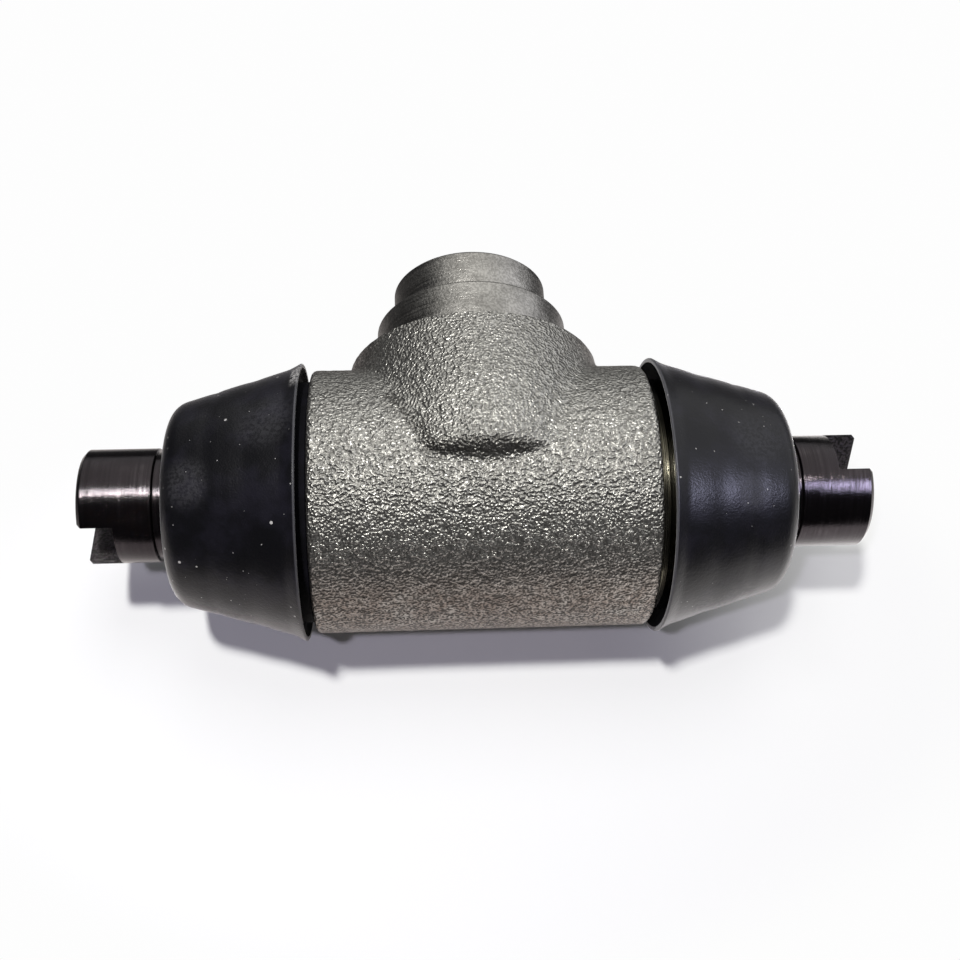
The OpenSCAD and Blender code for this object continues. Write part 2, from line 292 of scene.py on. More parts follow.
def rounded_outline(corners, steps=4):
    """Points of an outline whose corners (along, radius, rounding) are rounded where rounding isn't 0."""
    points, most_of_a_run = [], 0.49
    for i, (along, radius, rounding) in enumerate(corners):
        here = np.array((along, radius), float)
        if rounding == 0 or i in (0, len(corners) - 1):
            points.append(tuple(here))
            continue
        back = np.array(corners[i - 1][:2], float) - here
        ahead = np.array(corners[i + 1][:2], float) - here
        back_length, ahead_length = np.linalg.norm(back), np.linalg.norm(ahead)
        back, ahead = back / back_length, ahead / ahead_length
        half = math.acos(np.clip(back @ ahead, -1, 1)) / 2
        reach = min(rounding / math.tan(half), most_of_a_run * min(back_length, ahead_length))
        start, end = here + back * reach, here + ahead * reach
        middle = here + (back + ahead) / np.linalg.norm(back + ahead) * reach / math.cos(half)
        sweep = math.pi - 2 * half
        for k in range(steps + 1):
            t = k / steps
            a, b = math.sin((1 - t) * sweep), math.sin(t * sweep)
            points.append(tuple(middle + ((start - middle) * a + (end - middle) * b) / math.sin(sweep)))
    return points


def evenly_split(points, longest):
    """The outline with points added so that no straight run is longer than longest."""
    result = [points[0]]
    for start, end in zip(points, points[1:]):
        count = max(1, math.ceil(math.dist(start, end) / longest))
        for k in range(1, count + 1):
            result.append(tuple(np.array(start) + (np.array(end) - np.array(start)) * k / count))
    return result


def on_axis(along, radius, angle, axis):
    """A point at a distance along the bore axis (X) or the boss axis (Y)."""
    across, up = radius * np.cos(angle), radius * np.sin(angle)
    if axis == "X":
        return along, across + BORE_Y / MM, up
    return across, along, up


def join_rings(rings, closed=False):
    """Faces that join each ring of vertex numbers to the next one."""
    faces, segments = [], len(rings[0])
    for ring, following in zip(rings, rings[1:] + (rings[:1] if closed else [])):
        for j in range(segments):
            k = (j + 1) % segments
            faces.append(list(dict.fromkeys((ring[j], ring[k], following[k], following[j]))))
    return faces


def lathe(points, axis, segments, closed=False):
    """Vertices and faces of an outline of (along, radius) points turned about the bore or the boss."""
    angles = np.arange(segments) * 2 * math.pi / segments
    vertices, rings = [], []
    for along, radius in points:
        if radius == 0:
            rings.append([len(vertices)] * segments)
            vertices.append(on_axis(along, 0, 0, axis))
        else:
            rings.append(list(range(len(vertices), len(vertices) + segments)))
            vertices.extend(on_axis(along, radius, a, axis) for a in angles)
    return vertices, join_rings(rings, closed)


def shape(name, vertices, faces, material):
    """A closed mesh object in millimetres with its faces turned outwards."""
    mesh = bpy.data.meshes.new(name)
    mesh.from_pydata([tuple(v) for v in vertices], [], faces)
    cleaned = bmesh.new()
    cleaned.from_mesh(mesh)
    bmesh.ops.recalc_face_normals(cleaned, faces=cleaned.faces)
    cleaned.to_mesh(mesh)
    cleaned.free()
    mesh.materials.append(material)
    thing = bpy.data.objects.new(name, mesh)
    bpy.context.scene.collection.objects.link(thing)
    return thing


def turn_shape(name, outline, axis, segments, material, side=1, closed=False):
    """A shape turned from an outline for the right side, mirrored where the side is -1."""
    return shape(name, *lathe([(side * x, r) for x, r in outline], axis, segments, closed), material)


def apply_modifiers(thing):
    """Replaces an object's mesh by what its modifiers make of it."""
    depsgraph = bpy.context.evaluated_depsgraph_get()
    made = bpy.data.meshes.new_from_object(thing.evaluated_get(depsgraph))
    before = thing.data
    thing.modifiers.clear()
    thing.data = made
    made.name = thing.name
    bpy.data.meshes.remove(before)


def combine(thing, tool, operation):
    """Joins a tool to a shape or cuts it out, and removes the tool."""
    modifier = thing.modifiers.new("Combine", "BOOLEAN")
    modifier.object = tool
    modifier.operation = operation
    modifier.solver = "MANIFOLD"
    modifier.material_mode = "TRANSFER"
    apply_modifiers(thing)
    mesh = tool.data
    bpy.data.objects.remove(tool)
    bpy.data.meshes.remove(mesh)
    if not thing.data.polygons:
        raise RuntimeError(f"nothing is left of {thing.name} after {operation}")


def get_points(thing):
    """The vertices of an object as an array."""
    points = np.empty(len(thing.data.vertices) * 3)
    thing.data.vertices.foreach_get("co", points)
    return points.reshape(-1, 3)


def set_points(thing, points):
    """Moves the vertices of an object."""
    thing.data.vertices.foreach_set("co", np.ascontiguousarray(points, dtype=np.float32).ravel())
    thing.data.update()


def lumps(points, size):
    """Smooth noise from about -1 to 1 at each point, with features of a size."""
    return np.fromiter((noise.noise(Vector(p)) for p in points / size), float, len(points))


# Bends that show as edges on cut metal, and on rubber and wire.
CUT_EDGE, MOULDED_EDGE = math.radians(28), math.radians(50)


def shade(thing, sharp_angle, soft_materials=()):
    """Smooth shading with sharp edges, except inside the materials named soft."""
    names = [m.name for m in thing.data.materials]
    soft = {i for i, name in enumerate(names) if name in soft_materials}
    work = bmesh.new()
    work.from_mesh(thing.data)
    for face in work.faces:
        face.smooth = True
    for edge in work.edges:
        if len(edge.link_faces) != 2:
            continue
        one, two = (face.material_index for face in edge.link_faces)
        if one == two and one in soft:
            continue
        edge.smooth = edge.calc_face_angle(0) < sharp_angle
    work.to_mesh(thing.data)
    work.free()


def make_piece(thing, slot, *nodes):
    """Scales a shape to metres and hides the CAD nodes that it stands for. The slot argument is not used."""
    thing.data.transform(Matrix.Scale(MM, 4))
    thing.data.update()
    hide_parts(*nodes)
    return thing


# Shader nodes

def add_node(tree, kind, inputs=None, **settings):
    """Adds a node, sets its options and fills its inputs with values or sockets."""
    node = tree.nodes.new(kind)
    for name, value in settings.items():
        setattr(node, name, value)
    for name, value in (inputs or {}).items():
        if isinstance(value, bpy.types.NodeSocket):
            tree.links.new(value, node.inputs[name])
        else:
            node.inputs[name].default_value = value
    return node


def calculate(tree, operation, first, second, clamp=False):
    """The result of a math node."""
    return add_node(tree, "ShaderNodeMath", {0: first, 1: second},
                    operation=operation, use_clamp=clamp).outputs[0]


def times(tree, first, second):
    """Two values multiplied."""
    return calculate(tree, "MULTIPLY", first, second)


def remap(tree, value, low=0.0, high=1.0, to_low=0.0, to_high=1.0):
    """A value mapped smoothly from one range to another."""
    inputs = {"Value": value, "From Min": low, "From Max": high, "To Min": to_low, "To Max": to_high}
    return add_node(tree, "ShaderNodeMapRange", inputs, interpolation_type="SMOOTHSTEP").outputs["Result"]


def mix_colours(tree, amount, first, second):
    """Two colours mixed by an amount."""
    return add_node(tree, "ShaderNodeMix", {0: amount, 6: first, 7: second}, data_type="RGBA").outputs[2]


def lay_over(tree, base, top, amount, weight=1.0):
    """A colour laid over a base by a share of an amount."""
    return mix_colours(tree, times(tree, amount, weight), base, top)


def cloud(tree, scale, detail, roughness, **where):
    """A noise texture over a Vector, or along a line where W is given."""
    inputs = {**where, "Scale": scale, "Detail": detail, "Roughness": roughness}
    kind = "1D" if "W" in where else "3D"
    return add_node(tree, "ShaderNodeTexNoise", inputs, noise_dimensions=kind).outputs["Fac"]


def new_group(name, inputs, outputs):
    """An empty node group, its input sockets and its output node."""
    tree = bpy.data.node_groups.new(name, "ShaderNodeTree")
    for way, sockets in (("INPUT", inputs), ("OUTPUT", outputs)):
        for socket, kind in sockets.items():
            tree.interface.new_socket(socket, in_out=way, socket_type=f"NodeSocket{kind}")
    return tree, tree.nodes.new("NodeGroupInput").outputs, tree.nodes.new("NodeGroupOutput").inputs


def make_grain_group():
    """Sand grain: packed lumps of one size on broader swells."""
    tree, given, out = new_group("Sand grain", {"Vector": "Vector", "Size": "Float"},
                                 {"Height": "Float", "Hollows": "Float"})
    place, scale = given["Vector"], calculate(tree, "DIVIDE", 1.0, given["Size"])
    fine = cloud(tree, scale, detail=0.6, roughness=0.5, Vector=place)
    broad = cloud(tree, times(tree, scale, 0.36), detail=1.0, roughness=0.5, Vector=place)
    cells = add_node(tree, "ShaderNodeTexVoronoi", {"Vector": place, "Scale": scale}, feature="SMOOTH_F1")
    domes = calculate(tree, "SUBTRACT", 1.0, cells.outputs["Distance"])
    grains = calculate(tree, "ADD", times(tree, fine, 0.6), times(tree, domes, 0.4))
    tree.links.new(remap(tree, grains, low=0.61, high=0.45), out["Hollows"])
    tree.links.new(calculate(tree, "ADD", grains, times(tree, broad, 0.7)), out["Height"])


def make_mottle_group():
    """Mottle: soft uneven patches."""
    tree, given, out = new_group("Mottle", {"Vector": "Vector", "Size": "Float", "Cover": "Float"},
                                 {"Amount": "Float"})
    scale, softness = calculate(tree, "DIVIDE", 1.0, given["Size"]), 0.14
    patches = cloud(tree, scale, detail=4.0, roughness=0.6, Vector=given["Vector"])
    edge = calculate(tree, "SUBTRACT", 0.75, times(tree, given["Cover"], 0.5))
    low = calculate(tree, "SUBTRACT", edge, softness)
    high = calculate(tree, "ADD", edge, softness)
    tree.links.new(remap(tree, patches, low, high), out["Amount"])


def make_turning_group():
    """Turning marks: rings left by a tool along an axis."""
    tree, given, out = new_group("Turning marks", {"Along": "Float", "Pitch": "Float"},
                                 {"Height": "Float", "Streak": "Float"})
    place = calculate(tree, "DIVIDE", given["Along"], given["Pitch"])
    tree.links.new(cloud(tree, 1.0, detail=2.0, roughness=0.7, W=place), out["Height"])
    bands = cloud(tree, 0.23, detail=3.0, roughness=0.7, W=place)
    tree.links.new(remap(tree, bands, low=0.35, high=0.65), out["Streak"])


def make_dust_group():
    """Dust: scattered specks."""
    tree, given, out = new_group("Dust", {"Vector": "Vector", "Spacing": "Float", "Share": "Float"},
                                 {"Mask": "Float"})
    largest, solid_share = 0.14, 0.6
    scale = calculate(tree, "DIVIDE", 1.0, given["Spacing"])
    cells = add_node(tree, "ShaderNodeTexVoronoi", {"Vector": given["Vector"], "Scale": scale})
    chance = add_node(tree, "ShaderNodeSeparateColor", {"Color": cells.outputs["Color"]}).outputs
    limit = calculate(tree, "SUBTRACT", 1.0, given["Share"])
    chosen = calculate(tree, "GREATER_THAN", chance["Red"], limit)
    radius = times(tree, chance["Green"], largest)
    near = remap(tree, cells.outputs["Distance"], low=radius, high=times(tree, radius, solid_share))
    tree.links.new(times(tree, near, chosen), out["Mask"])


GROUP_MAKERS = {
    "Sand grain": make_grain_group,
    "Mottle": make_mottle_group,
    "Turning marks": make_turning_group,
    "Dust": make_dust_group,
}


def effect(tree, name, **inputs):
    """The outputs of a shared effect placed in a material with its own values."""
    if name not in bpy.data.node_groups:
        GROUP_MAKERS[name]()
    return add_node(tree, "ShaderNodeGroup", inputs, node_tree=bpy.data.node_groups[name]).outputs


def new_material(name, **constants):
    """A material with a Principled shader, its object coordinates and the constants of the shader."""
    material = bpy.data.materials.new(name)
    material.use_nodes = True
    tree = material.node_tree
    shader = tree.nodes["Principled BSDF"]
    for socket, value in constants.items():
        shader.inputs[socket.replace("_", " ")].default_value = value
    place = add_node(tree, "ShaderNodeTexCoord").outputs["Object"]
    return material, tree, shader, place


def paint(tree, shader, base, mask, smooth, rough):
    """Gives the shader its base colour and a roughness that a mask takes from smooth to rough."""
    tree.links.new(base, shader.inputs["Base Color"])
    tree.links.new(remap(tree, mask, to_low=smooth, to_high=rough), shader.inputs["Roughness"])


def add_bump(tree, shader, height, distance, normal=None):
    """Bump that feeds the shader's normal, on top of another bump if one is given."""
    inputs = {"Height": height, "Distance": distance, "Strength": 1.0}
    if normal:
        inputs["Normal"] = normal
    bump = add_node(tree, "ShaderNodeBump", inputs).outputs["Normal"]
    tree.links.new(bump, shader.inputs["Normal"])
    return bump


def along(tree, place, axis):
    """The coordinate of a place along X, Y or Z."""
    return add_node(tree, "ShaderNodeSeparateXYZ", {"Vector": place}).outputs[axis]


def vector_math(tree, operation, first, second=(0.0, 0.0, 0.0)):
    """The outputs of a vector math node."""
    return add_node(tree, "ShaderNodeVectorMath", {0: first, 1: second}, operation=operation).outputs


def near_place(tree, place, centre, reach):
    """A soft mask round a centre given from the bore axis."""
    x, y, z = centre
    away = vector_math(tree, "DISTANCE", place, (x, y + BORE_Y, z))["Value"]
    return remap(tree, away, low=reach, high=reach * 0.3)


def away_from(tree, place, centre, stretch):
    """Level distance from a centre, with X scaled."""
    offset = vector_math(tree, "SUBTRACT", place, centre)["Vector"]
    level = vector_math(tree, "MULTIPLY", offset, (stretch, 1, 0))["Vector"]
    return vector_math(tree, "LENGTH", level)["Value"]


def mottle(tree, place, size, cover):
    """Soft patches of a size over a share of the surface."""
    return effect(tree, "Mottle", Vector=place, Size=size, Cover=cover)["Amount"]


def grain(tree, place, size):
    """Sand grain of a size."""
    return effect(tree, "Sand grain", Vector=place, Size=size)


def turning(tree, place, axis, pitch):
    """Turning marks spaced along an axis."""
    return effect(tree, "Turning marks", Along=along(tree, place, axis), Pitch=pitch)


# Finishes. Sizes, depths and reaches are in metres, and places are centres from the bore axis.

# Painted shade under the boss foot, and in the crease at the left of the boss from its upper to its lower
# end.
FOOT_SHADE, FOOT_SHADE_STRETCH = (-0.0004, BORE_Y - 0.0013, 0), 0.13
CREASE_SHADE = (
    (-0.0099, 0.0060, 0.0138), (-0.0093, 0.0050, 0.0142), (-0.0088, 0.0040, 0.0145),
    (-0.0082, 0.0031, 0.0147), (-0.0076, 0.0023, 0.0149), (-0.0069, 0.0013, 0.0151),
    (-0.0063, 0.0003, 0.0152), (-0.0056, -0.0007, 0.0152),
)
CREASE_REACH = 0.0011
# The place on the right land that keeps its own colour, where the rest of the land is darkened as painted
# shade under the lips, and its reach.
UNSHADED_LAND = (0.0187, -0.0085, 0.0120), 0.0115
# Hazy places on the boots and the rubbed patch on the left lip, each with its reach. The haze is partly
# painted light: the two places low at the front stand for a reflection of the floor, and the one on the
# middle of the right boot for a highlight.
HAZE_AND_SHEEN_PLACES = (
    ((-0.0231, 0.0030, 0.0144), 0.0045), ((-0.0316, -0.0030, 0.0117), 0.0036),
    ((-0.0289, -0.0128, 0.0014), 0.0060), ((0.0297, 0.0009, 0.0126), 0.0045),
    ((0.0287, -0.0055, 0.0118), 0.0028), ((0.0265, -0.0130, 0.0020), 0.0060),
)
LIP_PATCH = (-0.0197, 0.0100, 0.0124), 0.0034


def make_cast_iron(s):
    """Cast iron with sand grain, hollows darkened partly as painted shade and partly as dirt low down, brown
    stains low down, and painted shade under the boss foot and in the crease at its left.
    """
    material, tree, shader, place = new_material("Cast iron", Metallic=0.94)
    z = along(tree, place, "Z")
    sand = grain(tree, place, s.grain_size)
    hollows = sand["Hollows"]
    patches = mottle(tree, place, size=0.004, cover=0.75)
    tone = mottle(tree, place, size=0.0011, cover=0.5)
    stain = times(tree, patches, remap(tree, z, low=0.0125, high=0.003))
    specks = times(tree, tone, remap(tree, z, low=0.010, high=0.004))
    # Hollows darkened all over as painted shade of the grain, and more low down, where it is also dirt.
    pits = times(tree, hollows, remap(tree, z, low=0.012, high=0.0, to_low=0.5))
    # Painted shade under the boss foot.
    foot_shade = remap(tree, away_from(tree, place, FOOT_SHADE, FOOT_SHADE_STRETCH), low=0.00105, high=0.0005)
    foot_shade = times(tree, foot_shade, remap(tree, z, low=0.013, high=0.0145))
    # Painted shade in the crease at the left of the boss.
    crease_shade = 0.0
    for centre in CREASE_SHADE:
        crease_shade = calculate(tree, "MAXIMUM", near_place(tree, place, centre, CREASE_REACH), crease_shade)
    crease_shade = times(tree, crease_shade, remap(tree, hollows, high=0.6, to_low=0.25, to_high=0.75))
    iron = lay_over(tree, s.light_grey, s.dark_grey, tone, weight=0.2)
    iron = lay_over(tree, iron, s.brown, stain, weight=0.55)
    iron = lay_over(tree, iron, s.rust, specks, weight=0.45)
    iron = lay_over(tree, iron, s.dark_grey, pits)
    iron = lay_over(tree, iron, s.dark_grey, foot_shade, weight=0.6)
    iron = lay_over(tree, iron, s.dark_grey, crease_shade)
    paint(tree, shader, iron, hollows, smooth=0.35, rough=0.42)
    depth = calculate(tree, "ADD", remap(tree, z, low=0.007, high=0.013, to_low=0.00018, to_high=0.00032),
                      remap(tree, z, low=0.006, high=-0.001, to_high=0.00025))
    add_bump(tree, shader, sand["Height"], depth)
    return material


def make_turned_iron(s):
    """Iron cut by a tool: fine rings round the boss, with a dull film."""
    material, tree, shader, place = new_material("Turned iron", Metallic=1.0)
    rings = turning(tree, place, "Y", pitch=0.00012)
    pores = grain(tree, place, size=0.00025)
    film = mottle(tree, place, size=0.0025, cover=0.45)
    iron = lay_over(tree, s.turned_grey, s.dark_grey, film, weight=0.35)
    iron = lay_over(tree, iron, s.dark_grey, pores["Hollows"], weight=0.3)
    paint(tree, shader, iron, rings["Streak"], smooth=0.32, rough=0.44)
    fine = add_bump(tree, shader, rings["Height"], distance=0.00002)
    add_bump(tree, shader, pores["Height"], distance=0.00004, normal=fine)
    return material


def make_turned_land(s):
    """Turned iron under the lips of the boots, with rings round the bore, darkened as painted shade except
    at one place on the right land.
    """
    material, tree, shader, place = new_material("Turned land", Metallic=1.0)
    rings = turning(tree, place, "X", pitch=0.00012)
    film = mottle(tree, place, size=0.002, cover=0.4)
    least_unshaded = 0.03
    # Painted shade under the lips, except at the place on the right land.
    unshaded = calculate(tree, "ADD", near_place(tree, place, *UNSHADED_LAND), least_unshaded, clamp=True)
    iron = lay_over(tree, s.land_brown, s.dark_grey, film, weight=0.5)
    iron = lay_over(tree, s.land_dirt, iron, unshaded)
    paint(tree, shader, iron, rings["Streak"], smooth=0.14, rough=0.24)
    add_bump(tree, shader, rings["Height"], distance=0.00002)
    return material


def make_black_steel(s):
    """Blackened, lightly etched steel with turned rings and a little wear."""
    material, tree, shader, place = new_material("Black steel", Metallic=0.95)
    rings = turning(tree, place, "X", pitch=0.00009)
    etched = grain(tree, place, size=0.00016)
    least_wear = 0.25
    wear = calculate(tree, "ADD", mottle(tree, place, size=0.003, cover=0.3), least_wear)
    worn = calculate(tree, "MULTIPLY", rings["Streak"], wear, clamp=True)
    steel = lay_over(tree, s.black, s.worn, worn, weight=0.4)
    paint(tree, shader, steel, rings["Streak"], smooth=0.13, rough=0.17)
    height = calculate(tree, "ADD", rings["Height"], times(tree, etched["Height"], 0.5))
    add_bump(tree, shader, height, distance=0.000018)
    return material


def make_milled_slot(s):
    """Rough milled faces in the slot of a piston."""
    material, tree, shader, place = new_material("Milled slot", Metallic=0.2, Specular_IOR_Level=0.2)
    rough = grain(tree, place, size=0.0003)
    hollows = rough["Hollows"]
    paint(tree, shader, lay_over(tree, s.slot_brown, s.black, hollows), hollows, smooth=0.42, rough=0.6)
    add_bump(tree, shader, rough["Height"], distance=0.00016)
    return material


def make_boot_rubber(s):
    """Black rubber with grey bloom, hazy places that are partly painted reflection and highlight, a painted
    highlight along the lip's edge, a rubbed lip and specks of dust.
    """
    material, tree, shader, place = new_material("Boot rubber", Specular_IOR_Level=0.22,
                                                 Sheen_Weight=0.35, Sheen_Roughness=0.3)
    bloom = mottle(tree, place, size=0.005, cover=0.4)
    blotches = mottle(tree, place, size=0.0004, cover=0.5)
    fine_dust = effect(tree, "Dust", Vector=place, Spacing=0.0008, Share=0.5)["Mask"]
    dust = effect(tree, "Dust", Vector=place, Spacing=0.0017, Share=0.2)["Mask"]
    specks = calculate(tree, "ADD", times(tree, fine_dust, 0.6), times(tree, dust, 0.8), clamp=True)
    # Haze; the places low at the front are also a painted reflection of the floor, and the one on the right
    # boot's middle a painted highlight.
    haze = 0.0
    for centre, reach in HAZE_AND_SHEEN_PLACES:
        haze = calculate(tree, "ADD", near_place(tree, place, centre, reach), haze, clamp=True)
    haze = times(tree, haze, remap(tree, blotches, to_low=0.35))
    from_middle = calculate(tree, "ABSOLUTE", along(tree, place, "X"), 0.0)
    # A painted highlight along the lip's edge.
    edge = remap(tree, from_middle, low=BOOT_LOW.x + 0.0003, high=BOOT_LOW.x + 0.0001)
    lip = remap(tree, from_middle, low=BOOT_LOW.x + 0.0011, high=BOOT_LOW.x + 0.0007)
    patch = times(tree, times(tree, near_place(tree, place, *LIP_PATCH), blotches), lip)
    rubber = lay_over(tree, s.rubber, s.bloom, bloom, weight=0.4)
    rubber = lay_over(tree, rubber, s.haze, haze, weight=0.13)
    rubber = lay_over(tree, rubber, s.haze, edge, weight=0.5)
    rubber = lay_over(tree, rubber, s.dust, patch)
    rubber = lay_over(tree, rubber, s.dust, specks)
    paint(tree, shader, rubber, haze, smooth=0.33, rough=0.5)
    add_bump(tree, shader, grain(tree, place, size=0.0002)["Height"], distance=0.00002)
    return material


def make_boot_inside(s):
    """Dull black rubber inside the lips."""
    material, tree, shader, place = new_material("Boot inside", Specular_IOR_Level=0.05)
    bloom = mottle(tree, place, size=0.002, cover=0.4)
    paint(tree, shader, lay_over(tree, s.rubber, s.bloom, bloom, weight=0.2), bloom, smooth=0.7, rough=0.85)
    return material


def make_cup_rubber(s):
    """Smooth moulded rubber of the cups."""
    material, tree, shader, place = new_material("Cup rubber")
    bloom = mottle(tree, place, size=0.003, cover=0.4)
    paint(tree, shader, lay_over(tree, s.cup, s.cup_bloom, bloom, weight=0.3), bloom, smooth=0.38, rough=0.5)
    return material


def make_bright_steel(s):
    """Drawn wire and pressed sheet."""
    material, tree, shader, place = new_material("Bright steel", Metallic=1.0)
    lines = turning(tree, place, "Y", pitch=0.00015)
    film = mottle(tree, place, size=0.002, cover=0.4)
    steel = lay_over(tree, s.bright, s.dull, film, weight=0.4)
    paint(tree, shader, steel, lines["Streak"], smooth=0.22, rough=0.36)
    return material


# The cast body, in millimetres

# Stock left above the seat before it is faced, and the reach and height of the cut that faces it.
SEAT_STOCK, FACING_RADIUS, FACING_HEIGHT = 1.0, 20, 5
# The runs over which the fillet grows and the boss bends into its taper, and the step that finds a slope.
FILLET_RUN, BEND_RUN, PROBE = 6.0, 0.5, 0.01
# How often the facets are moved onto the skin, and the weight, size and shift of each layer of its lumps.
SKIN_STEPS = 5
SKIN_LUMPS = ((0.6, 0.75, 0), (0.35, 0.45, 40), (0.5, 3.5, -70))
# How far the turned ends reach into the casting, and the groove for a boot in each land.
OVERLAP = 3
GROOVE_INSET, GROOVE_DEPTH, GROOVE_WIDTH = 2.15, 0.7, 1.6
# How far the cutter of the bore stands past each mouth, and its chamfer there.
BORE_PAST, BORE_CHAMFER = 1, 0.5
# Sides of the turned shapes.
CORE_SIDES, FACING_SIDES, BOSS_SIDES, LAND_SIDES, BORE_SIDES = 96, 64, 160, 192, 128


def rounded_distance(first, second, rounding):
    """Distance outside two faces that meet in a rounded edge."""
    first, second = first + rounding, second + rounding
    outside = np.hypot(np.maximum(first, 0), np.maximum(second, 0))
    return outside + np.minimum(np.maximum(first, second), 0) - rounding


def cast_distance(points, s):
    """Distance of each point from the skin of the casting, with the boss blended into the barrel."""
    x, y, z = points[:, 0], points[:, 1] - BORE_Y / MM, points[:, 2]
    reach = -BORE_Y / MM
    barrel = rounded_distance(np.hypot(y, z) - s.barrel_radius, np.abs(x) - s.barrel_half,
                              s.barrel_round)
    top = reach + SEAT_STOCK
    taper = (s.boss_foot_radius - s.boss_seat_radius) / (reach - s.boss_taper_start)
    radius = np.hypot(x, z)
    cone = (radius - s.boss_seat_radius - (reach - y) * taper) / math.hypot(1, taper)
    straight = radius - s.boss_foot_radius
    bend = np.maximum(BEND_RUN - np.abs(cone - straight), 0) / BEND_RUN
    flank = np.maximum(cone, straight) + bend * bend * BEND_RUN / 4
    under = -y - s.boss_foot_drop - (s.boss_foot_radius - radius) * s.boss_draft
    ends = np.maximum(under / math.hypot(1, s.boss_draft), y - top)
    boss = rounded_distance(flank, ends, s.boss_round)
    rise = np.clip((y + s.boss_foot_drop) / FILLET_RUN, 0, 1)
    blend = s.foot_fillet + (s.fillet - s.foot_fillet) * rise * rise * (3 - 2 * rise)
    overlap = np.maximum(blend - np.abs(barrel - boss), 0) / blend
    return np.minimum(barrel, boss) - overlap * overlap * blend / 4


def cast_slope(points, s):
    """Unit direction in which the distance from the casting grows fastest."""
    slope = np.empty_like(points)
    for axis in range(3):
        offset = np.zeros(3)
        offset[axis] = PROBE
        slope[:, axis] = cast_distance(points + offset, s) - cast_distance(points - offset, s)
    return slope / np.maximum(np.linalg.norm(slope, axis=1, keepdims=True), 1e-9)


def make_cast_core(s, material):
    """The solid casting before it is machined, with the lumps of its skin."""
    reach = -BORE_Y / MM
    barrel = [(-s.barrel_half, 0), (-s.barrel_half, s.barrel_radius),
              (s.barrel_half, s.barrel_radius), (s.barrel_half, 0)]
    foot = -reach - s.boss_foot_drop
    boss = [(foot, 0), (foot, s.boss_foot_radius), (s.boss_taper_start - reach, s.boss_foot_radius),
            (SEAT_STOCK, s.boss_seat_radius), (SEAT_STOCK, 0)]
    vertices, faces = lathe(barrel, "X", CORE_SIDES)
    more_vertices, more_faces = lathe(boss, "Y", CORE_SIDES)
    faces += [[i + len(vertices) for i in face] for face in more_faces]
    core = shape("cast_body", vertices + more_vertices, faces, material)
    remesh = core.modifiers.new("Skin", "REMESH")
    remesh.mode = "VOXEL"
    remesh.voxel_size = s.voxel
    apply_modifiers(core)
    points = get_points(core)
    for _ in range(SKIN_STEPS):
        points = points - cast_slope(points, s) * cast_distance(points, s)[:, None]
    rough = sum(weight * lumps(points + shift, size) for weight, size, shift in SKIN_LUMPS)
    set_points(core, points + cast_slope(points, s) * (rough * s.grain_height)[:, None])
    return core


def turned_boss(s, end):
    """Outline of the pilot and the spigot."""
    pilot, spigot, cut = s.pilot_radius, s.spigot_radius, s.edge_break
    root, relief = s.pilot_length, spigot - s.relief_depth
    relief_floor, relief_end = root + s.relief_width * 0.4, root + s.relief_width
    soft, hollow, run_out = 0.15, 0.2, 0.3
    return rounded_outline([
        (-OVERLAP, 0, 0), (-OVERLAP, pilot, 0), (root - cut, pilot, soft), (root, pilot - cut, soft),
        (root, relief, hollow), (relief_floor, relief, hollow), (relief_end, spigot, run_out),
        (end - cut, spigot, soft), (end, spigot - cut, soft), (end, 0, 0)])


def turned_land(s, mouth):
    """Outline of one turned land with its boot groove."""
    land, cut, start = s.land_radius, s.edge_break, s.barrel_half - OVERLAP
    floor = land - GROOVE_DEPTH
    groove = s.barrel_half + GROOVE_INSET
    groove_end = groove + GROOVE_WIDTH
    brim, hollow, soft = 0.08, 0.15, 0.1
    return rounded_outline([
        (start, 0, 0), (start, land, 0), (groove, land, brim), (groove, floor, hollow),
        (groove_end, floor, hollow), (groove_end, land, brim), (mouth - cut, land, soft),
        (mouth, land - cut, soft), (mouth, 0, 0)])


def bore_cutter(s, mouth):
    """Outline of the bore with its chamfered mouths."""
    bore, past, chamfer = s.bore_radius, mouth + BORE_PAST, mouth - BORE_CHAMFER
    wide = bore + BORE_PAST + BORE_CHAMFER
    return [(-past, 0), (-past, wide), (-chamfer, bore), (chamfer, bore), (past, wide), (past, 0)]


def inlet_cutter(s, end):
    """Vertices and faces of the threaded inlet, its mouth and the drilling to the bore."""
    segments, steps_per_turn, chamfer, past = 96, 10, 0.7, 0.2
    drill_slope, crest, both_flanks = math.tan(math.radians(31)), 0.12, 0.76
    height = s.inlet_depth + past
    floor = end - s.inlet_depth
    seat = floor - (s.inlet_radius - s.feed_radius) * drill_slope
    angles = np.arange(segments) * 2 * math.pi / segments
    rings = [(BORE_Y / MM, np.full(segments, s.feed_radius)), (seat, np.full(segments, s.feed_radius))]
    count = math.ceil(height / s.thread_pitch * steps_per_turn)
    for i in range(count + 1):
        y = floor + height * i / count
        phase = (y / s.thread_pitch - angles / (2 * math.pi)) % 1
        flank = np.clip((np.abs(2 * phase - 1) - crest) / both_flanks, 0, 1)
        run_in = np.clip((y - floor) / (2 * s.thread_pitch), 0, 1)
        radius = s.inlet_radius + s.thread_depth * flank * run_in
        rings.append((y, np.maximum(radius, s.inlet_radius + chamfer - (end - y))))
    vertices = [(0, rings[0][0], 0)]
    for y, radius in rings:
        vertices.extend((r * math.cos(a), y, r * math.sin(a)) for r, a in zip(radius, angles))
    vertices.append((0, rings[-1][0], 0))
    numbers = [list(range(start, start + segments)) for start in range(1, len(vertices) - 1, segments)]
    return vertices, join_rings([[0] * segments, *numbers, [len(vertices) - 1] * segments])


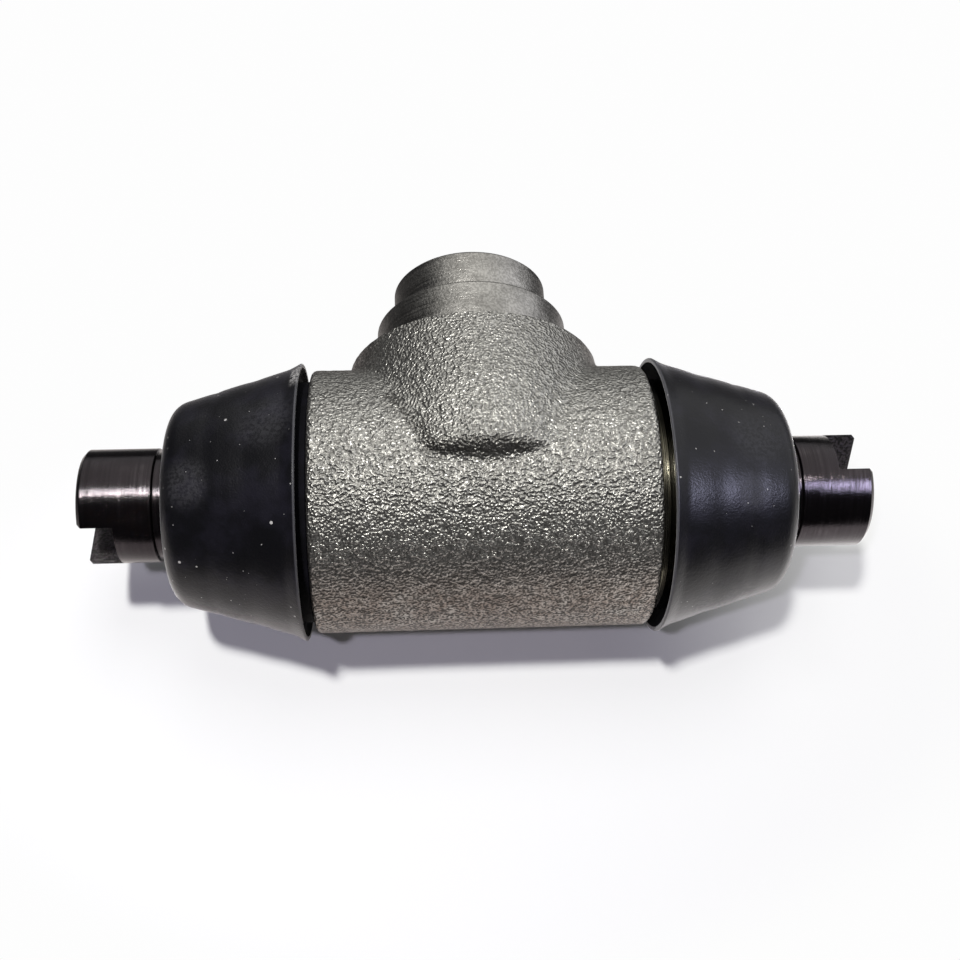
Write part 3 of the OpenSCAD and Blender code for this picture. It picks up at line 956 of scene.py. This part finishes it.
class WHEELCYL_OT_cast_body(bpy.types.Operator):
    """Build the casting with its turned ends, bore and inlet"""

    bl_idname = "wheel_cylinder.cast_body"
    bl_label = "Cast body"

    def execute(self, context):
        settings = context.scene.wheel_cylinder.body
        s = in_mm(settings)
        cast, turned = make_cast_iron(settings), make_turned_iron(settings)
        under_lip = make_turned_land(settings)
        end, mouth = BODY_HIGH.y / MM, BODY_HIGH.x / MM
        body = make_cast_core(s, cast)
        facing = [(0, 0), (0, FACING_RADIUS), (FACING_HEIGHT, FACING_RADIUS), (FACING_HEIGHT, 0)]
        combine(body, turn_shape("facing_cut", facing, "Y", FACING_SIDES, turned), "DIFFERENCE")
        combine(body, turn_shape("boss_end", turned_boss(s, end), "Y", BOSS_SIDES, turned), "UNION")
        for side in SIDES.values():
            land = turn_shape("land", turned_land(s, mouth), "X", LAND_SIDES, under_lip, side)
            combine(body, land, "UNION")
        combine(body, turn_shape("bore_cut", bore_cutter(s, mouth), "X", BORE_SIDES, turned), "DIFFERENCE")
        combine(body, shape("inlet_cut", *inlet_cutter(s, end), turned), "DIFFERENCE")
        shade(body, CUT_EDGE, soft_materials=(cast.name,))
        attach(make_piece(body, "cast_body", "cylinder_body"), "cylinder")
        return {"FINISHED"}


# The pistons, in millimetres

# Roundings at the root of the neck and in the groove, and of the edges of the slot.
NECK_ROUND, GROOVE_ROUND, SLOT_ROUND = 0.3, 0.15, 0.1
# How far the cutter of the slot stands past the end, and the sides of a piston.
SLOT_PAST, PISTON_SIDES = 3, 160
# The bend up to which faces count as one, and the bend from which an edge of the slot is rounded.
FLAT_BEND, EDGE_BEND = math.radians(0.3), math.radians(20)


def piston_outline(s):
    """Outline of a piston for the right side."""
    head_in = PISTON_LOW.x / MM
    head_out, end = head_in + s.head_length, PISTON_HIGH.x / MM
    neck, head, cut = s.neck_radius, s.head_radius, s.head_chamfer
    groove = neck - s.groove_depth
    groove_out = s.groove_end
    groove_in = groove_out - s.groove_length
    soft = s.edge_round
    return rounded_outline([
        (head_in, 0, 0), (head_in, head - cut, soft), (head_in + cut, head, soft),
        (head_out - cut, head, soft), (head_out, head - cut, soft), (head_out, neck, NECK_ROUND),
        (groove_in, neck, soft), (groove_in, groove, GROOVE_ROUND), (groove_out, groove, GROOVE_ROUND),
        (groove_out, neck, soft), (end - s.neck_chamfer, neck, soft),
        (end, neck - s.neck_chamfer, soft), (end, 0, 0)])


def slot_cutter(s, turn, side):
    """A long bar that mills the slot of one piston."""
    end = PISTON_HIGH.x / MM
    low, high = end - s.slot_depth, end + SLOT_PAST
    across, half = 2 * s.neck_radius, s.slot_width / 2
    corners = [(x, y, z) for x in (low, high) for y in (-across, across) for z in (-half, half)]
    turned = Matrix.Rotation(turn, 3, "X")
    vertices = [turned @ Vector(corner) for corner in corners]
    vertices = [(side * v.x, v.y + BORE_Y / MM, v.z) for v in vertices]
    faces = [[0, 1, 3, 2], [4, 6, 7, 5], [0, 4, 5, 1], [2, 3, 7, 6], [0, 2, 6, 4], [1, 5, 7, 3]]
    return vertices, faces


def break_slot_edges(piston, slot_name):
    """Rounds the edges where the slot meets the turned faces and its own floor."""
    slot_index = [m.name for m in piston.data.materials].index(slot_name)
    work = bmesh.new()
    work.from_mesh(piston.data)
    bmesh.ops.dissolve_limit(work, angle_limit=FLAT_BEND, verts=work.verts, edges=work.edges,
                             delimit={"MATERIAL"})
    weight = work.edges.layers.float.new("bevel_weight_edge")
    for edge in work.edges:
        faces = edge.link_faces
        in_slot = sum(face.material_index == slot_index for face in faces)
        if len(faces) == 2 and in_slot and edge.calc_face_angle(0) > EDGE_BEND:
            edge[weight] = 1.0
    work.to_mesh(piston.data)
    work.free()
    bevel = piston.modifiers.new("Slot edges", "BEVEL")
    bevel.limit_method = "WEIGHT"
    bevel.width = SLOT_ROUND
    bevel.segments = 2
    bevel.use_clamp_overlap = True
    apply_modifiers(piston)


class WHEELCYL_OT_pistons(bpy.types.Operator):
    """Build both pistons with their shoe slots"""

    bl_idname = "wheel_cylinder.pistons"
    bl_label = "Pistons"

    def execute(self, context):
        settings = context.scene.wheel_cylinder.pistons
        s = in_mm(settings)
        black, milled = make_black_steel(settings), make_milled_slot(settings)
        turns = {"left": settings.left_turn, "right": settings.right_turn}
        for name, side in SIDES.items():
            piston = turn_shape(f"{name}_turned_piston", piston_outline(s), "X", PISTON_SIDES, black, side)
            cutter = shape("slot_cut", *slot_cutter(s, turns[name], side), milled)
            combine(piston, cutter, "DIFFERENCE")
            break_slot_edges(piston, milled.name)
            shade(piston, CUT_EDGE)
            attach(make_piece(piston, "black_steel", f"{name}_piston"), f"{name}_piston")
        return {"FINISHED"}


# The boots, in millimetres

# Run and drop of the face inside the lip, the reach of the cuff under it, and the rounding of the flare.
LIP_RUN, LIP_DROP, CUFF_REACH, FLARE_ROUND = 0.5, 0.7, 0.4, 4.0
# Steps in each rounded corner, the longest run between two points, and the sides of a boot.
CORNER_STEPS, LONGEST_RUN, BOOT_SIDES = 8, 0.7, 224
# Places of the faint moulded rings along the bore and how wide each is.
BOOT_RINGS = ((25.2, 1.0), (29.6, 0.45))
# Size of the skin's wandering, and where the rings and the wandering start, along and across, and their run.
WANDER_SIZE, MOULDED_X, MOULDED_RADIUS, MOULDED_RUN = 7.0, 21.5, 9, 2
# How far the dull finish reaches behind the edge of the lip, and how far below it.
DULL_REACH, DULL_DROP = 1.2, 0.7


def boot_outline(s, land, cuff):
    """Closed outline of a boot for the right side, from the lip over the nose and back inside."""
    lip_x, nose_x = BOOT_LOW.x / MM, BOOT_HIGH.x / MM
    mouth = BODY_HIGH.x / MM
    lip = s.lip_radius
    flare_x, flare = lip_x + s.flare_length, lip - s.flare_height
    corner_x, corner = nose_x - s.nose_bulge, s.corner_radius
    slope = (flare - corner) / (corner_x - flare_x)
    cavity_x = mouth + s.land_gap + s.wall / 2
    inner_x = nose_x - s.nose_bead - s.nose_bulge / 2
    cavity = flare - slope * (cavity_x - flare_x) - s.wall
    inner = flare - slope * (inner_x - flare_x) - s.wall
    bead_x = lip_x + s.bead_inset
    bead_end = bead_x + s.bead_length
    corners = [
        (lip_x + LIP_RUN, lip - s.lip_thickness - LIP_DROP, 0), (lip_x, lip - s.lip_thickness, 0.15),
        (lip_x, lip, 0.25), (flare_x, flare, FLARE_ROUND), (corner_x, corner, s.corner_round),
        (nose_x, s.rim_radius, 0.35), (nose_x, s.hole_radius, 0.3),
        (nose_x - s.nose_bead, s.hole_radius, 0.2), (inner_x, inner, 1.0),
        (cavity_x, cavity, 0.4), (mouth + s.land_gap, land, 0.1), (bead_end, land, 0.1),
        (bead_end, s.bead_radius, 0.2), (bead_x, s.bead_radius, 0.2), (bead_x, land, 0)]
    if cuff:
        corners += [(lip_x - cuff, land, 0.1), (lip_x - cuff, land + s.cuff_wall, 0.2),
                    (lip_x + CUFF_REACH, land + s.cuff_wall, 0)]
    return evenly_split(rounded_outline(corners, CORNER_STEPS), LONGEST_RUN)


def mould_boot(boot, s):
    """Gives the outside of a boot faint rings and the slight wandering of moulded rubber."""
    points = get_points(boot)
    x = np.abs(points[:, 0])
    centre = np.array((0, BORE_Y / MM, 0))
    radial = (points - centre) * (0, 1, 1)
    radius = np.linalg.norm(radial, axis=1)
    push = s.unevenness * lumps(points, WANDER_SIZE)
    for ring_x, width in BOOT_RINGS:
        push -= s.ring_depth * np.exp(-((x - ring_x) / width) ** 2)
    outside = np.clip((x - MOULDED_X) / MOULDED_RUN, 0, 1)
    outside *= np.clip((radius - MOULDED_RADIUS) / MOULDED_RUN, 0, 1)
    set_points(boot, points + radial / radius[:, None] * (push * outside)[:, None])


def dull_lip(boot, s, material):
    """Gives the faces inside the lip their own finish."""
    boot.data.materials.append(material)
    limit_x, limit_radius = BOOT_LOW.x / MM + DULL_REACH, s.lip_radius - DULL_DROP
    for face in boot.data.polygons:
        x, y, z = face.center
        if abs(x) < limit_x and math.hypot(y - BORE_Y / MM, z) < limit_radius:
            face.material_index = 1


class WHEELCYL_OT_boots(bpy.types.Operator):
    """Build both rubber boots"""

    bl_idname = "wheel_cylinder.boots"
    bl_label = "Boots"

    def execute(self, context):
        settings = context.scene.wheel_cylinder.boots
        s = in_mm(settings)
        rubber, inside = make_boot_rubber(settings), make_boot_inside(settings)
        land = in_mm(context.scene.wheel_cylinder.body).land_radius + s.land_gap
        for name, side in SIDES.items():
            cuff = s.left_cuff if side < 0 else 0
            outline = boot_outline(s, land, cuff)
            boot = turn_shape(f"{name}_rubber_boot", outline, "X", BOOT_SIDES, rubber, side, closed=True)
            mould_boot(boot, s)
            dull_lip(boot, s, inside)
            shade(boot, MOULDED_EDGE)
            make_piece(boot, "boot_rubber", f"{name}_boot")
            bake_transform(boot)
        return {"FINISHED"}


# The seals and the spring

# Pitch of the closed ends in radii of the wire, steps in a turn, and sides of the wire.
CLOSED_PITCH, TURN_STEPS, WIRE_SIDES = 2.1, 48, 12


class WHEELCYL_OT_seals(bpy.types.Operator):
    """Give the CAD cups and expanders their finishes"""

    bl_idname = "wheel_cylinder.seals"
    bl_label = "Seals"

    def execute(self, context):
        settings = context.scene.wheel_cylinder.inside
        cup, bright = make_cup_rubber(settings), make_bright_steel(settings)
        for name in SIDES:
            for node, material in ((f"{name}_cup", cup), (f"{name}_expander", bright)):
                mesh = frame["nodes"][node].data
                mesh.materials.clear()
                mesh.materials.append(material)
        return {"FINISHED"}


def spring_place(turn, s, turns):
    """Distance of the wire along the bore after a number of turns: closed ends, even pitch between."""
    first = -s.spring_end + s.wire_radius
    closed = CLOSED_PITCH * s.wire_radius
    pitch = (-2 * first - 2 * closed) / (turns - 2)
    if turn < 1:
        return first + closed * turn
    if turn < turns - 1:
        return first + closed + pitch * (turn - 1)
    return -first - closed * (turns - turn)


def half_spring(s, turns, start, end):
    """Vertices and faces of the wire between two turns."""
    sides, count = WIRE_SIDES, round((end - start) * TURN_STEPS)
    vertices = []
    for i in range(count + 1):
        turn = start + (end - start) * i / count
        x, angle = spring_place(turn, s, turns), 2 * math.pi * turn
        for j in range(sides):
            section = 2 * math.pi * j / sides
            radius = s.coil_radius + s.wire_radius * math.cos(section)
            vertices.append(on_axis(x + s.wire_radius * math.sin(section), radius, angle, "X"))
    rings = [list(range(i * sides, (i + 1) * sides)) for i in range(count + 1)]
    return vertices, join_rings(rings) + [rings[0], rings[-1]]


class WHEELCYL_OT_spring(bpy.types.Operator):
    """Build the return spring in two halves"""

    bl_idname = "wheel_cylinder.spring"
    bl_label = "Return spring"

    def execute(self, context):
        settings = context.scene.wheel_cylinder.inside
        s = in_mm(settings)
        turns = settings.turns
        bright = bpy.data.materials.get("Bright steel") or make_bright_steel(settings)
        spans = {"left": (0, turns / 2), "right": (turns / 2, turns)}
        for name, side in SIDES.items():
            half = shape(f"{name}_half_spring", *half_spring(s, turns, *spans[name]), bright)
            shade(half, MOULDED_EDGE)
            make_piece(half, "bright_steel", "return_spring")
            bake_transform(half)
        return {"FINISHED"}


# The stage

# Each lamp's name, power setting, place from the bore axis, size and tint. One with a single size is a disk.
LAMPS = (
    ("Key", "key_power", (-0.09, -0.008, 0.48), (0.04,), (1.0, 0.985, 0.95)),
    ("Wash", "wash_power", (-0.085, -0.025, 0.48), (0.03,), (1.0, 1.0, 1.0)),
    ("Front", "front_power", (-0.16, -0.17, 0.5), (0.03,), (0.86, 0.81, 1.0)),
    ("Soft", "soft_power", (0.03, 0.2, 0.52), (0.2, 0.3), (0.97, 0.98, 1.0)),
    ("Sheen", "sheen_power", (0.27, -0.13, 0.42), (0.08, 0.3), (0.72, 0.73, 1.0)),
    ("Glint", "glint_power", (-0.09, 0.05, 0.48), (0.04, 0.1), (0.94, 1.0, 0.97)),
)
NO_HIGHLIGHT = ("Wash", "Front", "Soft")
# Lamps for highlights only, with the pieces that they light.
ONLY_HIGHLIGHT = {
    "Sheen": ("right_rubber_boot", "right_turned_piston"),
    "Glint": ("left_turned_piston",),
}

# Middle and stretch of the paler floor that the object reflects, and of the part of the floor with a shadow.
SHEET_MIDDLE, SHEET_STRETCH = (0.02, BORE_Y - 0.03, 0), 0.4
SHADOW_MIDDLE, SHADOW_STRETCH = (0.0, BORE_Y - 0.012, 0), 0.6
NO_PAINT = (0.0, 0.0, 0.0, 1.0)
FLOOR_REACH = 2.5

# The sky as shiny surfaces see it: in front and at the left, low and high at the back, and at the right.
SKY_DARK = (0.03, 0.03, 0.033, 1.0)
SKY_LOW, SKY_HIGH = (0.75, 0.75, 0.75, 1.0), (1.15, 1.14, 1.1, 1.0)
SKY_RIGHT = (1.3, 1.3, 1.34, 1.0)
# The sky as it lights matt surfaces and as the camera sees it.
SKY_MATT = (0.035, 0.033, 0.04, 1.0)
SKY_SEEN = (0.985, 0.985, 0.985, 1.0)

SENSOR_WIDTH = 36.0
NEAREST_SEEN = 0.005


def add_lamp(name, power, place, sizes, tint):
    """An area lamp that looks at the middle of the bore."""
    data = bpy.data.lights.new(name, "AREA")
    data.shape = "DISK" if len(sizes) == 1 else "RECTANGLE"
    data.energy, data.color, data.size, data.size_y = power, tint, sizes[0], sizes[-1]
    lamp = bpy.data.objects.new(name, data)
    x, y, z = place
    lamp.location = (x, y + BORE_Y, z)
    lamp.rotation_euler = (Vector((0, BORE_Y, 0)) - lamp.location).to_track_quat("-Z", "Y").to_euler()
    lamp.visible_glossy = name not in NO_HIGHLIGHT
    lamp.visible_diffuse = name not in ONLY_HIGHLIGHT
    scene = bpy.context.scene
    scene.collection.objects.link(lamp)
    if name in ONLY_HIGHLIGHT:
        lit_pieces = bpy.data.collections.new(name + " pieces")
        for piece in ONLY_HIGHLIGHT[name]:
            lit_pieces.objects.link(scene.objects[piece])
        lamp.light_linking.receiver_collection = lit_pieces


def make_floor_material(s):
    """Plain white floor that keeps the shadow of the object."""
    material = bpy.data.materials.new("Floor")
    material.use_nodes = True
    tree = material.node_tree
    tree.nodes.remove(tree.nodes["Principled BSDF"])
    path = add_node(tree, "ShaderNodeLightPath").outputs
    seen = calculate(tree, "ADD", path["Is Camera Ray"], path["Is Transmission Ray"], clamp=True)
    place = add_node(tree, "ShaderNodeTexCoord").outputs["Object"]
    x = along(tree, place, "X")
    far = remap(tree, away_from(tree, place, SHEET_MIDDLE, SHEET_STRETCH), s.sheet_start, s.sheet_end)
    reflected = mix_colours(tree, far, s.floor_near, s.floor_far)
    outside = remap(tree, away_from(tree, place, SHADOW_MIDDLE, SHADOW_STRETCH), s.white_start, s.white_end)
    own = remap(tree, x, low=0.015, high=0.05, to_low=s.floor_glow, to_high=s.right_glow)
    own = remap(tree, outside, to_low=own, to_high=s.white_level)
    lit_share = calculate(tree, "SUBTRACT", 1.0, calculate(tree, "DIVIDE", own, s.white_level), clamp=True)
    painted = mix_colours(tree, lit_share, NO_PAINT, s.floor_white)
    matt = add_node(tree, "ShaderNodeBsdfDiffuse", {"Color": mix_colours(tree, seen, reflected, painted)})
    near = times(tree, calculate(tree, "SUBTRACT", 1.0, far), path["Is Glossy Ray"])
    near_glow = remap(tree, x, low=0.018, high=0.028, to_low=s.near_glow, to_high=s.near_right_glow)
    strength = calculate(tree, "ADD", times(tree, seen, own), times(tree, near, near_glow))
    glow = add_node(tree, "ShaderNodeEmission", {"Strength": strength})
    both = add_node(tree, "ShaderNodeAddShader", {0: matt.outputs[0], 1: glow.outputs[0]})
    tree.links.new(both.outputs[0], tree.nodes["Material Output"].inputs["Surface"])
    return material


def make_world():
    """A plain studio: dark on the left and in front, paler on the right and at the back."""
    world = bpy.data.worlds.new("Studio")
    world.use_nodes = True
    tree = world.node_tree
    place = add_node(tree, "ShaderNodeTexCoord").outputs["Generated"]
    parts = add_node(tree, "ShaderNodeSeparateXYZ", {"Vector": place}).outputs
    path = add_node(tree, "ShaderNodeLightPath").outputs
    behind = remap(tree, parts["Y"], low=-0.35, high=0.05)
    not_left = remap(tree, parts["X"], low=-0.65, high=-0.25)
    pale = mix_colours(tree, remap(tree, parts["Z"], high=0.6), SKY_LOW, SKY_HIGH)
    pale = mix_colours(tree, remap(tree, parts["X"], low=0.3, high=0.9), pale, SKY_RIGHT)
    sky = mix_colours(tree, times(tree, behind, not_left), SKY_DARK, pale)
    sky = mix_colours(tree, path["Is Glossy Ray"], SKY_MATT, sky)
    sky = mix_colours(tree, path["Is Camera Ray"], sky, SKY_SEEN)
    tree.links.new(sky, tree.nodes["Background"].inputs["Color"])
    bpy.context.scene.world = world


class WHEELCYL_OT_stage(bpy.types.Operator):
    """Set up the floor, the lamps, the world and the camera"""

    bl_idname = "wheel_cylinder.stage"
    bl_label = "Stage"

    def execute(self, context):
        scene = context.scene
        s = scene.wheel_cylinder.stage
        scene.view_settings.view_transform = "Standard"
        level, ends = CAD_BOX[0].z - s.floor_drop, (-FLOOR_REACH, FLOOR_REACH)
        mesh = bpy.data.meshes.new("floor")
        mesh.from_pydata([(x, y, level) for y in ends for x in ends], [], [[0, 1, 3, 2]])
        mesh.materials.append(make_floor_material(s))
        floor = bpy.data.objects.new("floor", mesh)
        scene.collection.objects.link(floor)
        for name, power, *rest in LAMPS:
            add_lamp(name, getattr(s, power), *rest)
        make_world()
        data = bpy.data.cameras.new("Camera")
        data.sensor_width, data.lens, data.clip_start = SENSOR_WIDTH, s.focal_length, NEAREST_SEEN
        camera = bpy.data.objects.new("Camera", data)
        camera.location, camera.rotation_euler = s.camera_place, s.camera_turn
        scene.collection.objects.link(camera)
        scene.camera = camera
        return {"FINISHED"}


class WHEELCYL_PT_panel(bpy.types.Panel):
    """The steps that build the wheel cylinder"""

    bl_idname = "WHEELCYL_PT_panel"
    bl_label = "Wheel cylinder"
    bl_space_type = "VIEW_3D"
    bl_region_type = "UI"
    bl_category = "Wheel cylinder"

    def draw(self, context):
        settings = context.scene.wheel_cylinder
        steps = (("body", WHEELCYL_OT_cast_body), ("pistons", WHEELCYL_OT_pistons),
                 ("boots", WHEELCYL_OT_boots), ("inside", WHEELCYL_OT_seals),
                 ("inside", WHEELCYL_OT_spring), ("stage", WHEELCYL_OT_stage))
        for group, step in steps:
            box = self.layout.box()
            box.operator(step.bl_idname)
            values = getattr(settings, group)
            for name in values.__annotations__:
                box.prop(values, name)


CLASSES = (
    CastBodySettings, PistonSettings, BootSettings, InsideSettings, StageSettings, WheelCylinderSettings,
    WHEELCYL_OT_cast_body, WHEELCYL_OT_pistons, WHEELCYL_OT_boots, WHEELCYL_OT_seals,
    WHEELCYL_OT_spring, WHEELCYL_OT_stage, WHEELCYL_PT_panel,
)


def register():
    for cls in CLASSES:
        bpy.utils.register_class(cls)
    bpy.types.Scene.wheel_cylinder = PointerProperty(type=WheelCylinderSettings)


def unregister():
    del bpy.types.Scene.wheel_cylinder
    for cls in reversed(CLASSES):
        bpy.utils.unregister_class(cls)


def clear_start_objects():
    """Removes what a new Blender file holds besides the frame."""
    kept = set(frame["nodes"].values()) | set(frame["bodies"].values())
    for thing in list(bpy.data.objects):
        if thing not in kept:
            bpy.data.objects.remove(thing)


def main():
    register()
    clear_start_objects()
    build = bpy.ops.wheel_cylinder
    build.cast_body()
    build.pistons()
    build.boots()
    build.seals()
    build.spring()
    build.stage()


if __name__ == "__main__":
    main()
